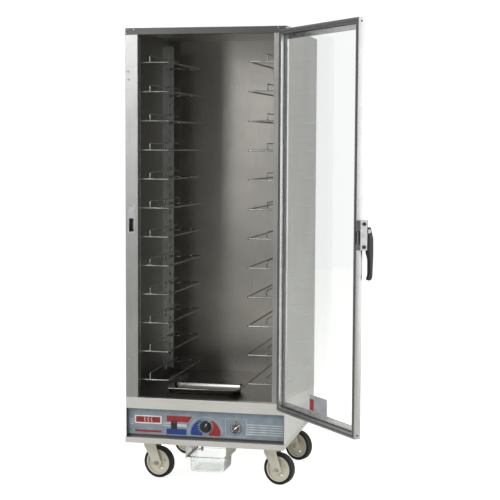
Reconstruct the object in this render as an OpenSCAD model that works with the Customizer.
// Heated proofing cabinet: a full-height aluminium cabinet on swivel casters with a clear
// hinged door, twelve levels of chromed wire slides and a control module below the deck.
// Millimetres. +X is the right-hand side seen from the front, -Y is the front, +Z is up.
// The origin is on the floor, under the centre of the cabinet body.

/* [Cabinet] */
// Width of the body
body_w = 641; // [560:1:780]
// Depth of the body, stile faces to back panel
body_d = 690; // [640:1:840]
// Height of the top panel above the floor
total_h = 1797; // [1560:1:2100]
// Sheet thickness of the panels
sheet_t = 1.6; // [1.2:0.1:2.4]
// Width of the front stiles
stile_w = 50; // [40:1:60]
// Depth of the stiles, header and sill
stile_d = 30; // [24:1:40]
// Height of the header above the door opening
header_h = 27; // [20:1:40]
// Width of the flanges that fold in at the front of each side panel
front_flange_w = 12; // [8:1:13]
// Width of the flanges that fold in at the back of each side panel
rear_flange_w = 33; // [20:1:45]

/* [Base and module] */
// Height of the base frame above the floor
base_z = 164; // [160:1:200]
// Height of the base frame's channel
base_h = 22; // [18:1:30]
// How far the base frame stands proud of the stiles
base_lip = 9; // [4:1:16]
// Height of the sill's lower edge above the base frame
module_open_h = 115; // [100:1:140]
// Height of the front sill
sill_h = 44; // [36:1:56]
// Distance of the control panel behind the stile faces
panel_recess = 25; // [15:1:40]

/* [Slides] */
// Number of slide levels
levels = 12; // [4:1:12]
// Spacing of the slide levels
level_pitch = 114.3; // [76.2:38.1:114.3]
// Height of the lowest slide above the deck
first_level = 64; // [50:1:90]
// Spacing of the keyholes in the uprights
hole_pitch = 38.1; // [38.1:0.1:38.1]
// Diameter of the slide wire
wire_d = 6.35; // [5:0.05:8]
// Diameter of the raised guide wire
guide_d = 4.8; // [4:0.1:6]
// Clear width between the left and right rails
rail_gap = 315; // [280:1:330]
// Clear width between the raised guides
guide_gap = 468; // [440:1:480]
// Height of the raised guides above the rails
guide_h = 27; // [18:1:34]
// Distance of the front cross wire behind the stile faces
slide_front = 53; // [50:1:70]
// Depth of a slide, front wire to rear wire
slide_depth = 510; // [420:1:560]
// Width of an upright
upright_w = 26; // [20:1:32]
// Depth of an upright
upright_d = 12; // [9:1:16]
// Distance of an upright's centre from the side panel
upright_off = 34; // [26:1:40]

/* [Door] */
// How much narrower the door is than the body
door_less = 69; // [50:1:90]
// Overlap of the door on the header and on the sill
door_lap = 18; // [12:1:24]
// Thickness of the door frame
door_t = 25; // [20:1:32]
// Width of the door frame's members
door_frame_w = 38; // [30:1:50]
// Width of the raised rim on the members
door_rim_w = 18; // [14:1:24]
// Thickness of the clear pane
pane_t = 3; // [2:0.5:5]
// Gap between the closed door and the stile faces
door_gap = 4; // [3:0.5:6]
// Distance of the hinge axis inside the body's right-hand edge
hinge_inset = 20.5; // [16:0.5:26]
// Distance of the hinge axis in front of the stile faces
hinge_out = 18; // [16:0.5:24]
// Distance of the door's edge from the hinge axis
hinge_edge = 11; // [9:0.5:14]
// Angle that the door stands open
door_open = 129.4; // [0:0.1:180]

/* [Latch] */
// Height of the latch's centre above the floor
latch_z = 1038; // [700:1:1200]
// Height of the latch body
latch_h = 103; // [80:1:120]
// Width of the latch body beside the door's edge
latch_w = 27; // [22:1:34]
// How far the bolt stands past the door's inner face
bolt_reach = 10; // [8:0.5:12]
// Length of the handle below its pivot
handle_len = 182; // [120:1:220]

/* [Controls] */
// Diameter of the thermostat knob
knob_d = 47; // [36:1:56]
// Diameter of the dial gauge
gauge_d = 48; // [40:1:60]
// Distance of the gauge right of the knob
gauge_x = 122; // [90:1:150]
// Distance of the power switch left of the knob
switch_x = 129; // [90:1:160]
// Height of the controls above the base frame's top
control_z = 50; // [40:1:70]

/* [Pans] */
// Width of the water pan
water_pan_w = 306; // [240:1:340]
// Depth of the water pan, front to back
water_pan_d = 150; // [120:1:200]
// Height of the water pan
water_pan_h = 26; // [20:1:60]
// Width of the drip pan's rim
drip_w = 162; // [140:1:180]
// Depth of the drip pan's rim, front to back
drip_d = 176; // [150:1:200]
// Height of the drip pan
drip_h = 63; // [40:1:70]
// Height of the drip pan's rim above the floor
drip_z = 108; // [90:1:120]

/* [Casters] */
// Wheel diameter
wheel_d = 127; // [100:1:130]
// Wheel width
wheel_w = 32; // [25:1:38]
// Distance of the axle behind the swivel axis
trail = 33; // [25:1:40]
// Distance of the swivel axes from the body's sides
caster_inset_x = 72; // [70:1:110]
// Distance of the front swivel axes behind the stile faces
caster_inset_front = 124; // [110:1:160]
// Distance of the rear swivel axes from the back panel
caster_inset_rear = 130; // [110:1:160]
// Radius of the kingpin
kingpin_r = 6; // [5:0.5:8]
// Radius of the axle
axle_r = 4.7; // [4:0.1:6]

/* [Hidden] */
$fn = 48;
run_c = 0.05; // radial clearance of a running fit
hook_c = 1.3; // radial clearance of a slide's hook in its keyhole
gap_c = 0.5; // clearance between bodies that pass each other
cut = 1; // how far a cutter runs past a face

// Planes of the body
front_y = -body_d / 2;
back_y = body_d / 2;
side_x = body_w / 2;
base_top = base_z + base_h;
sill_z = base_top + module_open_h;
deck_z = sill_z + sill_h;
header_z = total_h - header_h;
inner_x = side_x - sheet_t;
opening_x = side_x - stile_w;
panel_y = front_y + panel_recess;
control_h = base_top + control_z;

// Slides and uprights
rail_x = rail_gap / 2 + wire_d / 2;
guide_x = guide_gap / 2 + guide_d / 2;
upright_x = inner_x - upright_off;
hook_x = upright_x;
front_web_y = front_y + slide_front - wire_d / 2 - 7;
slide_y0 = front_y + slide_front;
slide_y1 = slide_y0 + slide_depth;
rear_web_y = slide_y1 - 50;
rear_hook_y = rear_web_y - wire_d / 2 - 4;
level_z0 = deck_z + first_level;
upright_z0 = level_z0 - 28;
upright_z1 = level_z0 + (levels - 1) * level_pitch + 95;
holes = floor((upright_z1 - level_z0) / hole_pitch);

// Door, drawn closed and then turned about the hinge axis
hinge_x = side_x - hinge_inset;
hinge_y = front_y - hinge_out;
door_w = body_w - door_less;
door_x1 = hinge_x - hinge_edge;
door_x0 = door_x1 - door_w;
door_z0 = deck_z - door_lap;
door_z1 = header_z + door_lap / 2;
door_in_y = front_y - door_gap;
door_out_y = door_in_y - door_t;
door_flange_t = 6;
pane_y = door_out_y + door_flange_t;
hinge_h = 60;
hinge_r = 5;
hinge_pin_r = 2.5;
hinge_zs = [door_z0 + 90, (door_z0 + door_z1 - hinge_h) / 2, door_z1 - 90 - hinge_h];

// Latch
latch_x1 = door_x0;
latch_x0 = latch_x1 - latch_w;
latch_mid_x = (latch_x0 + latch_x1) / 2;
latch_out_y = door_out_y - 7;
bolt_w = latch_w / 2;
bolt_h = 44;
bolt_z = latch_z - 9;
handle_z = latch_z + 14;
handle_y = latch_out_y - 5;
handle_w = 18;
handle_pin_r = 2.5;
handle_barrel_r = 4.4;
strike_x = latch_mid_x;

// Controls
gauge_case_r = gauge_d / 2 - 4;
switch_w = 24;
switch_h = 31;
knob_depth = 20;
shaft_r = 3.1;

// Pans
water_pan_x = -40;
water_pan_y = front_y + 103 + water_pan_d / 2;
hood_w = 54;
hood_d = 116;
hood_h = 27;
drip_x = -3;
drip_y = front_y + 40 + drip_d / 2;
drip_wall = 2;
tube_r = 5;

// Casters: kingpin, ball race and fork hang below a bolted plate
wheel_r = wheel_d / 2;
plate_t = 3;
race_r = 30;
race_h = 7;
race_z = base_z - plate_t - race_h;
fork_t = 3.5;
fork_top = race_z - gap_c;
bridge_z = fork_top - 11;
fork_in = wheel_w / 2 + 3;
tyre_wall = 12;
hub_r = wheel_r - tyre_wall;
caster_x = side_x - caster_inset_x;
caster_fy = front_y + caster_inset_front;
caster_ry = back_y - caster_inset_rear;
// Each caster: its x, its y and the angle that its fork is turned to
caster_at = [
    [-caster_x, caster_fy, -12],
    [caster_x, caster_fy, -16],
    [-caster_x, caster_ry, -24],
    [caster_x, caster_ry, -26]
];
caster_names = ["fl", "fr", "rl", "rr"];

// ---- Shared shapes ----

// A block given by two opposite corners
module block(a, b) {
    translate([min(a[0], b[0]), min(a[1], b[1]), min(a[2], b[2])])
        cube([abs(b[0] - a[0]), abs(b[1] - a[1]), abs(b[2] - a[2])]);
}

// A plate of a rounded outline in the plane y, thickness t towards +Y
module rounded_plate_y(w, h, r, t) {
    rotate([-90, 0, 0]) linear_extrude(t) rounded_rect(w, h, r);
}

// A rounded rectangle centred on the origin
module rounded_rect(w, h, r) {
    square([w - 2 * r, h], center = true);
    square([w, h - 2 * r], center = true);
    for (sx = [-1, 1], sy = [-1, 1]) translate([sx * (w / 2 - r), sy * (h / 2 - r)]) circle(r);
}

// A round rod from point a to point b
module rod(a, b, r) {
    d = b - a;
    len = norm(d);
    translate(a) rotate([0, acos(d[2] / len), atan2(d[1], d[0])]) cylinder(r = r, h = len);
}

// A bent wire through a list of points, with a slightly swollen ball at each bend
module wire(points, r) {
    for (i = [0:len(points) - 2]) rod(points[i], points[i + 1], r);
    for (i = [1:len(points) - 2]) translate(points[i]) sphere(r * 1.05);
}

// The same shape on both sides of the cabinet
module both_sides() {
    children();
    mirror([1, 0, 0]) children();
}

// Turns a piece drawn on the closed door to where the door stands
module on_door() {
    translate([hinge_x, hinge_y, 0]) rotate([0, 0, door_open])
        translate([-hinge_x, -hinge_y, 0]) children();
}

// ---- Base ----

// Tray of folded sheet: a floor, four walls and a top flange behind the front lip
module base_frame() {
    t = 2;
    color("gainsboro") difference() {
        union() {
            block([-side_x, front_y - base_lip, base_z], [side_x, back_y, base_z + t]);
            block([-side_x, front_y - base_lip, base_z], [side_x, front_y - base_lip + t, base_top]);
            block([-side_x, back_y - t, base_z], [side_x, back_y, base_top]);
            both_sides() block([side_x - t, front_y - base_lip, base_z], [side_x, back_y, base_top]);
            block([-side_x, front_y - base_lip, base_top - t], [side_x, panel_y, base_top]);
        }
        translate([drip_x - 32, drip_y - 20, base_z - cut]) cylinder(r = tube_r + gap_c, h = t + 2 * cut);
        for (c = caster_at, sx = [-1, 1], sy = [-1, 1])
            translate([c[0] + sx * 34, c[1] + sy * 29, base_z - cut]) cylinder(r = 4.5, h = t + 2 * cut);
    }
}

// ---- Body panels ----

// Side panel: a folded sheet with a flange behind the stile and one at the back
module side_panel() {
    block([inner_x, front_y + sheet_t, base_top], [side_x, back_y - sheet_t, total_h - sheet_t]);
    block([side_x - front_flange_w, front_y + sheet_t, deck_z],
          [side_x, front_y + 2 * sheet_t, header_z]);
    block([side_x - rear_flange_w, back_y - 2 * sheet_t, base_top],
          [side_x, back_y - sheet_t, total_h - sheet_t]);
}

module side_left() {
    color("silver") mirror([1, 0, 0]) side_panel();
}

module side_right() {
    color("silver") side_panel();
}

module back_panel() {
    color("silver") difference() {
        block([-side_x, back_y - sheet_t, base_top], [side_x, back_y, total_h - sheet_t]);
        translate([-200, back_y - sheet_t - cut, base_top + 60]) rounded_plate_y(34, 26, 3, sheet_t + 2 * cut);
    }
}

module top_panel() {
    color("silver")
        block([-side_x, front_y, total_h - sheet_t], [side_x, back_y, total_h]);
}

// Front face of a stile with its return into the opening, then a second return
module stile() {
    block([opening_x, front_y, deck_z], [side_x, front_y + sheet_t, header_z]);
    block([opening_x, front_y, deck_z], [opening_x + sheet_t, front_y + stile_d, header_z]);
    block([opening_x, front_y + stile_d - sheet_t, deck_z],
          [opening_x + 15, front_y + stile_d, header_z]);
}

module stile_left() {
    color("darkgray") difference() {
        mirror([1, 0, 0]) stile();
        bolt_slot();
    }
}

module stile_right() {
    color("darkgray") stile();
}

// Slot through the left stile and its strike for the latch bolt
module bolt_slot() {
    block([strike_x - bolt_w / 2 - 3, front_y - 3, bolt_z - bolt_h / 2 - 4],
          [strike_x + bolt_w / 2 + 3, front_y + 3 * sheet_t + cut, bolt_z + bolt_h / 2 + 4]);
}

module header() {
    color("dimgray") {
        block([-side_x, front_y, header_z], [side_x, front_y + sheet_t, total_h - sheet_t]);
        block([-inner_x, front_y, header_z], [inner_x, front_y + stile_d, header_z + sheet_t]);
    }
}

// Rail across the front, below the door opening
module front_sill() {
    color("gainsboro") {
        block([-side_x, front_y, sill_z], [side_x, front_y + sheet_t, deck_z]);
        block([-inner_x, front_y, deck_z - sheet_t], [inner_x, front_y + stile_d, deck_z]);
        block([-inner_x, front_y, sill_z], [inner_x, panel_y - gap_c, sill_z + sheet_t]);
    }
}

// Floor of the cavity, with the outlet hood's air hole
module deck() {
    color("darkgray") difference() {
        block([-inner_x, front_y + stile_d, deck_z - sheet_t],
              [inner_x, back_y - 2 * sheet_t, deck_z]);
        translate([hood_x(), hood_y() + 20, deck_z - sheet_t - cut])
            cylinder(r = 18, h = sheet_t + 2 * cut);
    }
}

function hood_x() = -side_x + 108;
function hood_y() = front_y + 345 + hood_d / 2;

// Louvred hood over the warm-air outlet
module outlet_hood() {
    t = sheet_t;
    color("silver") translate([hood_x(), hood_y(), deck_z]) difference() {
        block([-hood_w / 2, -hood_d / 2, 0], [hood_w / 2, hood_d / 2, hood_h]);
        block([-hood_w / 2 + t, -hood_d / 2 + t, -cut], [hood_w / 2 - t, hood_d / 2 - t, hood_h - t]);
        for (i = [0:3]) block([-hood_w / 2 + 8, -hood_d / 2 - cut, 5 + i * 5],
                              [hood_w / 2 - 8, -hood_d / 2 + t + cut, 7 + i * 5]);
    }
}

// ---- Uprights and slides ----

// Channel with a row of keyholes; its web faces +Y
module upright() {
    t = sheet_t;
    difference() {
        union() {
            block([-upright_w / 2, -t, upright_z0], [upright_w / 2, 0, upright_z1]);
            for (s = [-1, 1]) block([s * upright_w / 2, -upright_d, upright_z0],
                                    [s * (upright_w / 2 - t), 0, upright_z1]);
            block([upright_w / 2 - t, -upright_d, upright_z0],
                  [upright_off, -upright_d + t, upright_z1]);
        }
        for (i = [0:holes]) translate([0, -t - cut, level_z0 + i * hole_pitch]) keyhole(t + 2 * cut);
    }
}

// Round hole with a narrow slot below it
module keyhole(depth) {
    rotate([-90, 0, 0]) linear_extrude(depth) {
        circle(wire_d / 2 + hook_c);
        translate([-wire_d * 0.41, 0]) square([wire_d * 0.82, 11]);
    }
}

module uprights() {
    color("lightgray") both_sides() {
        translate([upright_x, front_web_y, 0]) upright();
        translate([upright_x, rear_web_y, 0]) mirror([0, 1, 0]) upright();
    }
}

// Right-hand slide at height 0: a hooked rail wire and the raised guide welded to it
module slide() {
    wire([
        [hook_x, front_web_y - 9, -9],
        [hook_x, front_web_y - 9, 0],
        [hook_x, slide_y0, 0],
        [rail_x, slide_y0, 0],
        [rail_x, slide_y1, 0],
        [guide_x - 26, slide_y1, 0],
        [guide_x + 4, rear_hook_y, 0],
        [hook_x, rear_hook_y, 0],
        [hook_x, rear_web_y + 9, 0],
        [hook_x, rear_web_y + 9, -9]
    ], wire_d / 2);
    dip = wire_d / 2 + guide_d / 2;
    mid = slide_y0 + slide_depth * 0.43;
    wire([
        [guide_x, slide_y0, 0],
        [guide_x, slide_y0, guide_h],
        [guide_x, mid - 12, guide_h],
        [guide_x, mid - 12, dip],
        [guide_x, mid + 12, dip],
        [guide_x, mid + 12, guide_h],
        [guide_x, rear_hook_y - 38, guide_h],
        [guide_x, rear_hook_y, 0]
    ], guide_d / 2);
}

// Left and right slides of one level
module slides(level) {
    color("lightsteelblue") translate([0, 0, level_z0 + (level - 1) * level_pitch])
        both_sides() slide();
}

// ---- Pans ----

// Open pan with a rolled rim, width along X and depth along Y, its base on z = 0
module pan(w, d, h, wall, rim, r) {
    difference() {
        union() {
            linear_extrude(h) rounded_rect(w - 2 * rim, d - 2 * rim, r);
            translate([0, 0, h - wall]) linear_extrude(wall) rounded_rect(w, d, r + rim / 2);
        }
        translate([0, 0, wall]) linear_extrude(h)
            rounded_rect(w - 2 * rim - 2 * wall, d - 2 * rim - 2 * wall, r - wall / 2);
    }
}

module water_pan() {
    color("silver") translate([water_pan_x, water_pan_y, deck_z + gap_c])
        pan(water_pan_w, water_pan_d, water_pan_h - gap_c, 1.2, 8, 14);
}

module drip_pan() {
    color("whitesmoke") translate([drip_x, drip_y, drip_z - drip_h])
        pan(drip_w, drip_d, drip_h, drip_wall, 10, 20);
}

// Two folded hangers under the base that the drip pan's rim slides in
module drip_pan_rails() {
    t = 1.6;
    half = drip_w / 2 + gap_c;
    ledge = drip_z - drip_wall - gap_c;
    color("gainsboro") for (s = [-1, 1]) {
        block([drip_x + s * half, drip_y - drip_d / 2, ledge - t],
              [drip_x + s * (half + t), drip_y + drip_d / 2, base_z]);
        block([drip_x + s * (half - 7), drip_y - drip_d / 2, ledge - t],
              [drip_x + s * (half + t), drip_y + drip_d / 2, ledge]);
        block([drip_x + s * half, drip_y - drip_d / 2, base_z - t],
              [drip_x + s * (half + 16), drip_y + drip_d / 2, base_z]);
    }
}

// Drain from the module down into the drip pan
module drain_tube() {
    color("gray") translate([drip_x - 32, drip_y - 20, 0]) difference() {
        union() {
            translate([0, 0, drip_z + 12]) cylinder(r = tube_r, h = base_top - drip_z - 16);
            translate([0, 0, base_z + 2]) cylinder(r = tube_r + 5, h = 3);
        }
        translate([0, 0, drip_z]) cylinder(r = tube_r - 1.2, h = base_top - drip_z);
    }
}

// ---- Control module ----

module control_panel() {
    color("slategray") difference() {
        block([-inner_x, panel_y, base_top], [inner_x, panel_y + sheet_t, deck_z - sheet_t]);
        translate([0, panel_y - cut, control_h]) rotate([-90, 0, 0])
            cylinder(r = 6, h = sheet_t + 2 * cut);
        translate([gauge_x, panel_y - cut, control_h]) rotate([-90, 0, 0])
            cylinder(r = gauge_case_r + 0.3, h = sheet_t + 2 * cut);
        translate([-switch_x, panel_y - cut, control_h])
            rounded_plate_y(switch_w - 4, switch_h - 4, 1, sheet_t + 2 * cut);
    }
}

// Frame of the power switch with its well and the terminal block behind it
module switch_bezel() {
    color("black") translate([-switch_x, panel_y, control_h]) difference() {
        union() {
            translate([0, -2, 0]) rounded_plate_y(switch_w, switch_h, 2, 2);
            rounded_plate_y(switch_w - 5, switch_h - 5, 1, 24);
        }
        translate([0, -2 - cut, 0]) rounded_plate_y(switch_w - 8, switch_h - 8, 0.5, 16 + cut);
    }
}

// Rocker on a round pivot, tilted to one of its two positions
module switch_rocker() {
    w = switch_w - 8 - 2 * gap_c;
    h = switch_h - 8 - 2 * gap_c;
    color("dimgray") translate([-switch_x, panel_y + 4, control_h]) rotate([11, 0, 0]) {
        block([-w / 2, -7, -h / 2 + 1], [w / 2, 1, h / 2 - 1]);
        rotate([0, 90, 0]) cylinder(r = 4, h = w, center = true);
    }
}

// Thermostat knob: a skirt, a grip bar and a shaft hole
module knob() {
    r = knob_d / 2;
    color("black") translate([0, panel_y - 1.5, control_h]) rotate([90, 0, 0]) difference() {
        union() {
            cylinder(r = r, h = 5);
            translate([0, 0, 5]) cylinder(r1 = r - 3, r2 = r - 6, h = 5);
            rotate([0, 0, -30]) translate([-5, -r + 4, 5])
                cube([10, 2 * r - 8, knob_depth - 5]);
        }
        translate([0, 0, -cut]) cylinder(r = shaft_r + run_c, h = 11 + cut);
    }
}

// Dial gauge: bezel ring and case, open at the front for the dial
module gauge_case() {
    color("silver") translate([gauge_x, panel_y, control_h]) rotate([90, 0, 0]) difference() {
        union() {
            cylinder(r = gauge_d / 2, h = 5);
            translate([0, 0, -22]) cylinder(r = gauge_case_r, h = 22);
            translate([0, 0, 0.6]) cylinder(r = 1.2, h = 2.6);
        }
        difference() {
            translate([0, 0, 0.6]) cylinder(r = gauge_d / 2 - 3, h = 5);
            cylinder(r = 1.2, h = 3.2);
        }
    }
}

// Needle that turns on the gauge's post
module gauge_needle() {
    color("white") translate([gauge_x, panel_y - 1.6, control_h]) rotate([90, 0, 0]) difference() {
        rotate([0, 0, -48]) union() {
            cylinder(r = 3, h = 1);
            translate([-0.8, -6, 0]) cube([1.6, gauge_d / 2 - 5, 1]);
        }
        translate([0, 0, -cut]) cylinder(r = 1.2 + run_c, h = 1 + 2 * cut);
    }
}

// Thermostat body behind the panel, with the shaft that carries the knob
module thermostat() {
    color("tan") translate([0, panel_y + sheet_t, control_h]) {
        block([-26, 0, -22], [26, 34, 22]);
        rotate([90, 0, 0]) cylinder(r = shaft_r, h = sheet_t + 10);
    }
}

// Hairpin heating element below the deck, on two feet
module heater() {
    z = deck_z - 45;
    y0 = front_y + 140;
    color("darkslategray") {
        wire([
            [-110, y0 + 240, z], [-110, y0, z], [-40, y0, z], [-40, y0 + 200, z],
            [40, y0 + 200, z], [40, y0, z], [110, y0, z], [110, y0 + 240, z]
        ], 4);
        block([-125, y0 + 236, base_z + 2], [125, y0 + 242, z + 8]);
    }
}

// Recessed power inlet in the back panel
module power_inlet() {
    color("black") translate([-200, back_y, base_top + 60]) difference() {
        union() {
            translate([0, 0, 0]) rounded_plate_y(46, 36, 4, 2.5);
            translate([0, -26, 0]) rounded_plate_y(33, 25, 2.5, 26);
        }
        translate([0, -18, 0]) rounded_plate_y(27, 19, 2, 18 + 2.5 + cut);
    }
}

// ---- Door ----

// Cross-section of a frame member: a rim of full thickness and a thinner flange that the pane
// lies on. x runs from the door's edge inwards, y from the inner face outwards.
module member_section() {
    square([door_rim_w, door_t]);
    translate([0, door_t - door_flange_t]) square([door_frame_w, door_flange_t]);
}

// The two upright members run full height and the two cross members fit between them
module door_frame() {
    color("silver") on_door() {
        translate([door_x0, door_in_y, door_z0]) mirror([0, 1, 0])
            linear_extrude(door_z1 - door_z0) member_section();
        translate([door_x1, door_in_y, door_z0]) mirror([0, 1, 0]) mirror([1, 0, 0])
            linear_extrude(door_z1 - door_z0) member_section();
        for (top = [0, 1]) difference() {
            translate([door_x0 + door_rim_w, door_in_y, top ? door_z1 : door_z0])
                mirror([0, 1, 0]) mirror([0, 0, top]) rotate([90, 0, 90])
                linear_extrude(door_w - 2 * door_rim_w) mirror([1, 0]) rotate([0, 0, 90])
                member_section();
            for (x = [door_x0, door_x1 - door_frame_w])
                block([x, door_out_y - cut, door_z0 - cut],
                      [x + door_frame_w, pane_y, door_z1 + cut]);
        }
    }
}

module door_pane() {
    c = door_rim_w + 0.6;
    color("lightcyan", 0.3) on_door()
        block([door_x0 + c, pane_y, door_z0 + c], [door_x1 - c, pane_y + pane_t, door_z1 - c]);
}

// Soft seal around the rim's inner face
module door_gasket() {
    w = 9;
    e = 5;
    t = door_gap - gap_c;
    color("gray") on_door() difference() {
        block([door_x0 + e, door_in_y, door_z0 + e], [door_x1 - e, door_in_y + t, door_z1 - e]);
        block([door_x0 + e + w, door_in_y - cut, door_z0 + e + w],
              [door_x1 - e - w, door_in_y + t + cut, door_z1 - e - w]);
    }
}

// Cabinet halves of the hinges: a leaf on the stile, an arm, two knuckles and the pin
module hinges_fixed() {
    third = hinge_h / 3;
    color("silver") for (z = hinge_zs) translate([hinge_x, hinge_y, z]) {
        block([-10, hinge_out - 2.5, 0], [hinge_inset - 4, hinge_out, hinge_h]);
        for (k = [0, 2]) {
            block([-4, 0, k * third], [4, hinge_out - 1, (k + 1) * third]);
            translate([0, 0, k * third]) cylinder(r = hinge_r, h = third);
        }
        cylinder(r = hinge_pin_r, h = hinge_h);
    }
}

// Door halves of the hinges: a leaf on the door's edge and the middle knuckle
module hinges_door() {
    third = hinge_h / 3;
    color("gray") on_door() for (z = hinge_zs) translate([hinge_x, hinge_y, z]) difference() {
        union() {
            block([-hinge_edge, door_in_y - hinge_y, 0],
                  [-hinge_edge + 1.5, door_out_y - hinge_y, hinge_h]);
            block([-hinge_edge, -4, third + gap_c], [0, 4, 2 * third - gap_c]);
            translate([0, 0, third + gap_c]) cylinder(r = hinge_r, h = third - 2 * gap_c);
        }
        translate([0, 0, -cut]) cylinder(r = hinge_pin_r + run_c, h = hinge_h + 2 * cut);
    }
}

// ---- Latch ----

// Zinc housing on the door's free edge: a screwed plate, a guide block for the bolt and
// two ears that carry the handle's pin
module latch_body() {
    bolt_c = 0.6;
    color("silver") on_door() difference() {
        union() {
            translate([0, 0, latch_z - latch_h / 2]) linear_extrude(latch_h) polygon([
                [latch_x0, door_in_y], [latch_x1, door_in_y], [latch_x1, latch_out_y],
                [latch_x0 + 5, latch_out_y], [latch_x0, latch_out_y + 5]
            ]);
            for (s = [0, 1]) {
                x = s ? latch_x1 - 4 : latch_x0;
                block([x, latch_out_y + 1, handle_z - 7], [x + 4, handle_y, handle_z + 7]);
                translate([x, handle_y, handle_z]) rotate([0, 90, 0]) cylinder(r = 6, h = 4);
            }
            translate([latch_x0, handle_y, handle_z]) rotate([0, 90, 0])
                cylinder(r = handle_pin_r, h = latch_w);
        }
        block([strike_x - bolt_w / 2 - bolt_c, door_in_y + cut, bolt_z - bolt_h / 2 - bolt_c],
              [strike_x + bolt_w / 2 + bolt_c, door_out_y - 2, bolt_z + bolt_h / 2 + bolt_c]);
    }
}

// Bolt: a tongue with a sloped nose that slides through the housing
module latch_bolt() {
    y0 = door_in_y + bolt_reach;
    y1 = door_out_y + bolt_reach + 3;
    color("dimgray") on_door() translate([strike_x - bolt_w / 2, 0, 0]) difference() {
        block([0, y0, bolt_z - bolt_h / 2], [bolt_w, y1, bolt_z + bolt_h / 2]);
        translate([-cut, y0, 0]) rotate([0, 0, 32])
            block([-20, 0, bolt_z - bolt_h], [bolt_w + 20, 12, bolt_z + bolt_h]);
    }
}

// Handle: a barrel on the pin, a deep shoulder below it and an arm that hangs down to a curled
// tip. Its side view is drawn in Y and Z from the pin.
module latch_handle() {
    color("black") on_door() translate([latch_mid_x, handle_y, handle_z]) difference() {
        union() {
            translate([-handle_w / 2, 0, 0]) rotate([90, 0, 90])
                linear_extrude(handle_w) handle_profile();
            rotate([0, 90, 0]) cylinder(r = handle_barrel_r, h = handle_w, center = true);
        }
        rotate([0, 90, 0])
            cylinder(r = handle_pin_r + run_c, h = handle_w + 2 * cut, center = true);
    }
}

module handle_profile() {
    out = -19;
    arm = -7;
    tip = 12 - handle_len;
    polygon([
        [0, handle_barrel_r], [-4, handle_barrel_r], [out, -28], [out, tip + 12],
        [out + 5, tip + 2], [-4, tip], [-4, tip + 8], [arm - 1, tip + 12], [arm, tip + 20],
        [arm, -92], [-4, -78], [handle_barrel_r, -66], [handle_barrel_r, 0]
    ]);
    translate([-4, tip + 4]) circle(4);
}

module strike() {
    w = 29;
    color("gray") difference() {
        block([strike_x - w / 2, front_y - 1.2, bolt_z - 31],
              [strike_x + w / 2, front_y, bolt_z + 83]);
        bolt_slot();
    }
}

// ---- Casters ----

// Bolted plates with the upper ball race and the kingpin
module caster_plates() {
    color("silver") for (c = caster_at) translate([c[0], c[1], 0]) {
        difference() {
            block([-45, -40, base_z - plate_t], [45, 40, base_z]);
            for (sx = [-1, 1], sy = [-1, 1])
                translate([sx * 34, sy * 29, base_z - plate_t - cut]) cylinder(r = 4.5, h = plate_t + 2 * cut);
        }
        translate([0, 0, race_z]) cylinder(r = race_r, h = race_h);
        translate([0, 0, bridge_z - 5]) cylinder(r = kingpin_r, h = race_z - bridge_z + 6);
        translate([0, 0, bridge_z - 5 - gap_c]) cylinder(r = kingpin_r + 5, h = 5);
    }
}

// Fork, drawn with the axle on +X: lower race, bridge, two legs and the riveted axle
module fork(i) {
    c = caster_at[i];
    color("antiquewhite") translate([c[0], c[1], 0]) rotate([0, 0, c[2]]) difference() {
        union() {
            translate([0, 0, bridge_z]) cylinder(r = race_r + 1, h = fork_top - bridge_z);
            block([-27, -fork_in - fork_t, bridge_z], [27, fork_in + fork_t, bridge_z + fork_t]);
            for (s = [-1, 1]) translate([0, s * (fork_in + fork_t / 2), 0]) rotate([90, 0, 0])
                linear_extrude(fork_t, center = true) leg_profile();
            translate([trail, 0, wheel_r]) rotate([90, 0, 0])
                cylinder(r = axle_r, h = 2 * (fork_in + fork_t + 6), center = true);
            for (s = [-1, 1]) translate([trail, s * (fork_in + fork_t + 2.5), wheel_r])
                rotate([90, 0, 0]) cylinder(r = 8.5, h = 5, center = true);
        }
        translate([0, 0, bridge_z - cut]) cylinder(r = kingpin_r + run_c, h = fork_top - bridge_z + 2 * cut);
    }
}

// Side view of a leg: wide at the bridge, round at the axle
module leg_profile() {
    r = 17;
    polygon([
        [-27, bridge_z + fork_t], [27, bridge_z + fork_t], [28, bridge_z - 12],
        [trail + r * cos(10), wheel_r + r * sin(10)], [trail, wheel_r],
        [trail - r * cos(42), wheel_r - r * sin(42)], [-26, bridge_z - 16]
    ]);
    translate([trail, wheel_r]) circle(r);
}

// Places a wheel part, drawn about its own axis, on its axle
module on_axle(i) {
    c = caster_at[i];
    translate([c[0], c[1], 0]) rotate([0, 0, c[2]]) translate([trail, 0, wheel_r])
        rotate([90, 0, 0]) children();
}

// Dished hub: rim, web and boss, with slots through the web
module hub(i) {
    w = wheel_w - 4;
    color("antiquewhite") on_axle(i) difference() {
        rotate_extrude() {
            translate([axle_r + run_c, -fork_in + gap_c]) square([9, 2 * (fork_in - gap_c)]);
            translate([axle_r + 2, -4]) square([hub_r - axle_r - 3, 8]);
            translate([hub_r - 6, -w / 2]) square([6, w]);
        }
        for (a = [0:3]) rotate([0, 0, a * 90 + 20]) translate([hub_r * 0.56, 0, 0])
            cube([5, 13, 12], center = true);
    }
}

// Tyre with rounded shoulders
module tyre(i) {
    shoulder = 6;
    h = wheel_w / 2;
    color("black") on_axle(i) rotate_extrude() {
        translate([hub_r, -h]) square([wheel_r - hub_r - shoulder, wheel_w]);
        translate([hub_r, -h + shoulder]) square([wheel_r - hub_r, wheel_w - 2 * shoulder]);
        for (s = [-1, 1]) translate([wheel_r - shoulder, s * (h - shoulder)]) circle(shoulder);
    }
}

// ---- Fasteners ----

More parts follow.
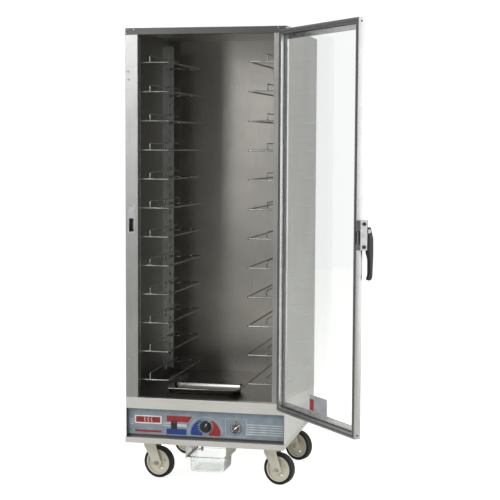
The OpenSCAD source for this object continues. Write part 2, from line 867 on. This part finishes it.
// A low round head on a face that looks to -Y
module head_front(x, z, y, r) {
    translate([x, y, z]) rotate([90, 0, 0]) cylinder(r = r, h = 1.4);
}

// Rivet heads on the left stile, header and side panel, screws on the strike and the bolts
// of the caster plates
module fasteners() {
    color("silver") {
        for (z = [deck_z + 150, deck_z + 181, header_z - 173, header_z - 142])
            head_front(13 - side_x, z, front_y, 3.2);
        both_sides() for (x = [side_x - 4, side_x - 34]) head_front(x, total_h - 8, front_y, 3);
        for (z = [bolt_z - 26, bolt_z + 76])
            head_front(strike_x, z, front_y - 1.2, 3);
        for (y = [front_y + 85, front_y + 190, front_y + 295])
            translate([side_x, y, deck_z]) rotate([0, 90, 0]) cylinder(r = 3.2, h = 1.2);
        for (c = caster_at, sx = [-1, 1], sy = [-1, 1])
            translate([c[0] + sx * 34, c[1] + sy * 29, base_z - plate_t - 5]) {
                cylinder(r = 6.5, h = 5, $fn = 6);
                cylinder(r = 4, h = 5 + plate_t + 10);
            }
    }
}

base_frame();
side_left();
side_right();
back_panel();
top_panel();
header();
front_sill();
stile_left();
stile_right();
deck();
uprights();
outlet_hood();
water_pan();
slides(1);  // slides_01
slides(2);  // slides_02
slides(3);  // slides_03
slides(4);  // slides_04
slides(5);  // slides_05
slides(6);  // slides_06
slides(7);  // slides_07
slides(8);  // slides_08
slides(9);  // slides_09
slides(10);  // slides_10
slides(11);  // slides_11
slides(12);  // slides_12
control_panel();
switch_bezel();
switch_rocker();
knob();
gauge_case();
gauge_needle();
thermostat();
heater();
power_inlet();
drip_pan();
drip_pan_rails();
drain_tube();
door_frame();
door_pane();
door_gasket();
hinges_fixed();
hinges_door();
latch_body();
latch_bolt();
latch_handle();
strike();
caster_plates();
fork(0);  // fork_fl
fork(1);  // fork_fr
fork(2);  // fork_rl
fork(3);  // fork_rr
hub(0);  // hub_fl
hub(1);  // hub_fr
hub(2);  // hub_rl
hub(3);  // hub_rr
tyre(0);  // tyre_fl
tyre(1);  // tyre_fr
tyre(2);  // tyre_rl
tyre(3);  // tyre_rr
fasteners();
